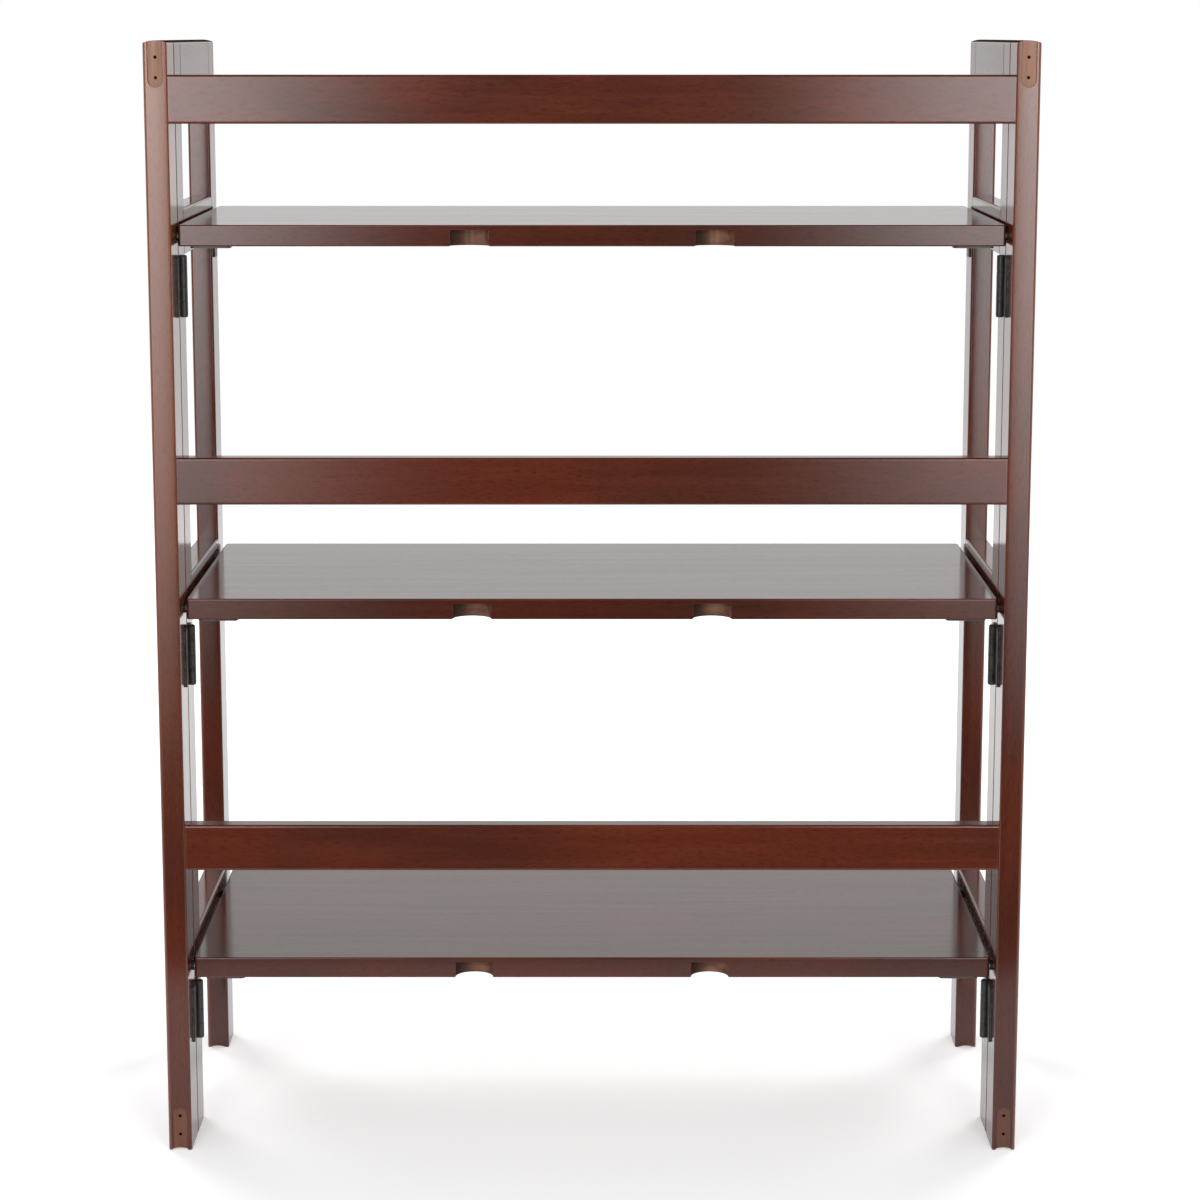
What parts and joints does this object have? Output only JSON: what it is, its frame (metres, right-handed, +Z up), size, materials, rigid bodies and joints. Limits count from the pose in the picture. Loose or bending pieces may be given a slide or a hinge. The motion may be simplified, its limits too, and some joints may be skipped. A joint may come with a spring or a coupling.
{
  "type": "folding bookcase",
  "caption": "Open ladder-sided wooden bookcase whose shelves tip up and whose hinged side frames then fold in flat against its back frame",
  "frame": {"origin": "centre of the footprint, on the floor", "axes": "+Z up, +Y towards the open front, +X across"},
  "size_m": [0.7, 0.294, 0.906],
  "materials": {
    "stained_wood": "glossy lacquer over a dark reddish walnut stain",
    "dowel_wood": "raw turned beech",
    "black_steel": "black semi-gloss",
    "black_nylon": "moulded black",
    "plain_steel": "zinc plated"
  },
  "bodies": {
    "back_frame": {"back_post_left": "stained_wood", "back_post_right": "stained_wood", "back_rail_lower": "stained_wood", "back_rail_middle": "stained_wood", "back_rail_top": "stained_wood", "back_frame_dowels": "dowel_wood", "hinge_post_leaf_left_lower": "black_steel", "hinge_post_leaf_left_middle": "black_steel", "hinge_post_leaf_left_top": "black_steel", "hinge_post_leaf_right_lower": "black_steel", "hinge_post_leaf_right_middle": "black_steel", "hinge_post_leaf_right_top": "black_steel", "hinge_pins": "black_steel", "hinge_post_screws": "black_steel", "pivot_bushes": "black_nylon"},
    "left_side_frame": {"rear_stile_left": "stained_wood", "front_stile_left": "stained_wood", "side_rail_left_lower": "stained_wood", "side_rail_left_middle": "stained_wood", "side_rail_left_top": "stained_wood", "side_rail_left_crown": "stained_wood", "side_frame_dowels_left": "dowel_wood", "hinge_stile_leaf_left_lower": "black_steel", "hinge_stile_leaf_left_middle": "black_steel", "hinge_stile_leaf_left_top": "black_steel", "hinge_stile_screws_left": "black_steel", "front_support_left_lower": "black_steel", "front_support_left_middle": "black_steel", "front_support_left_top": "black_steel", "front_support_screws_left": "black_steel"},
    "right_side_frame": {"rear_stile_right": "stained_wood", "front_stile_right": "stained_wood", "side_rail_right_lower": "stained_wood", "side_rail_right_middle": "stained_wood", "side_rail_right_top": "stained_wood", "side_rail_right_crown": "stained_wood", "side_frame_dowels_right": "dowel_wood", "hinge_stile_leaf_right_lower": "black_steel", "hinge_stile_leaf_right_middle": "black_steel", "hinge_stile_leaf_right_top": "black_steel", "hinge_stile_screws_right": "black_steel", "front_support_right_lower": "black_steel", "front_support_right_middle": "black_steel", "front_support_right_top": "black_steel", "front_support_screws_right": "black_steel"},
    "shelf_lower_body": {"shelf_lower": "stained_wood", "pivot_pins_lower": "plain_steel", "corner_plate_left_lower": "black_steel", "corner_plate_right_lower": "black_steel", "corner_plate_screws_lower": "black_steel"},
    "shelf_middle_body": {"shelf_middle": "stained_wood", "pivot_pins_middle": "plain_steel", "corner_plate_left_middle": "black_steel", "corner_plate_right_middle": "black_steel", "corner_plate_screws_middle": "black_steel"},
    "shelf_top_body": {"shelf_top": "stained_wood", "pivot_pins_top": "plain_steel", "corner_plate_left_top": "black_steel", "corner_plate_right_top": "black_steel", "corner_plate_screws_top": "black_steel"}
  },
  "joints": [
    {"name": "shelf_lower_fold", "type": "hinge", "parent": "back_frame", "child": "shelf_lower_body", "pos_m": [0, -0.118, 0.15], "axis": [1, 0, 0], "range_deg": [0, 84]},
    {"name": "shelf_middle_fold", "type": "hinge", "parent": "back_frame", "child": "shelf_middle_body", "pos_m": [0, -0.118, 0.4515], "axis": [1, 0, 0], "range_deg": [0, 84]},
    {"name": "shelf_top_fold", "type": "hinge", "parent": "back_frame", "child": "shelf_top_body", "pos_m": [0, -0.118, 0.753], "axis": [1, 0, 0], "range_deg": [0, 90]},
    {"name": "right_side_fold", "type": "hinge", "parent": "back_frame", "child": "right_side_frame", "pos_m": [0.3274, -0.1065, 0], "axis": [0, 0, 1], "range_deg": [0, 0.5]},
    {"name": "left_side_fold", "type": "hinge", "parent": "back_frame", "child": "left_side_frame", "pos_m": [-0.3274, -0.1065, 0], "axis": [0, 0, -1], "range_deg": [0, 0.5]}
  ]
}
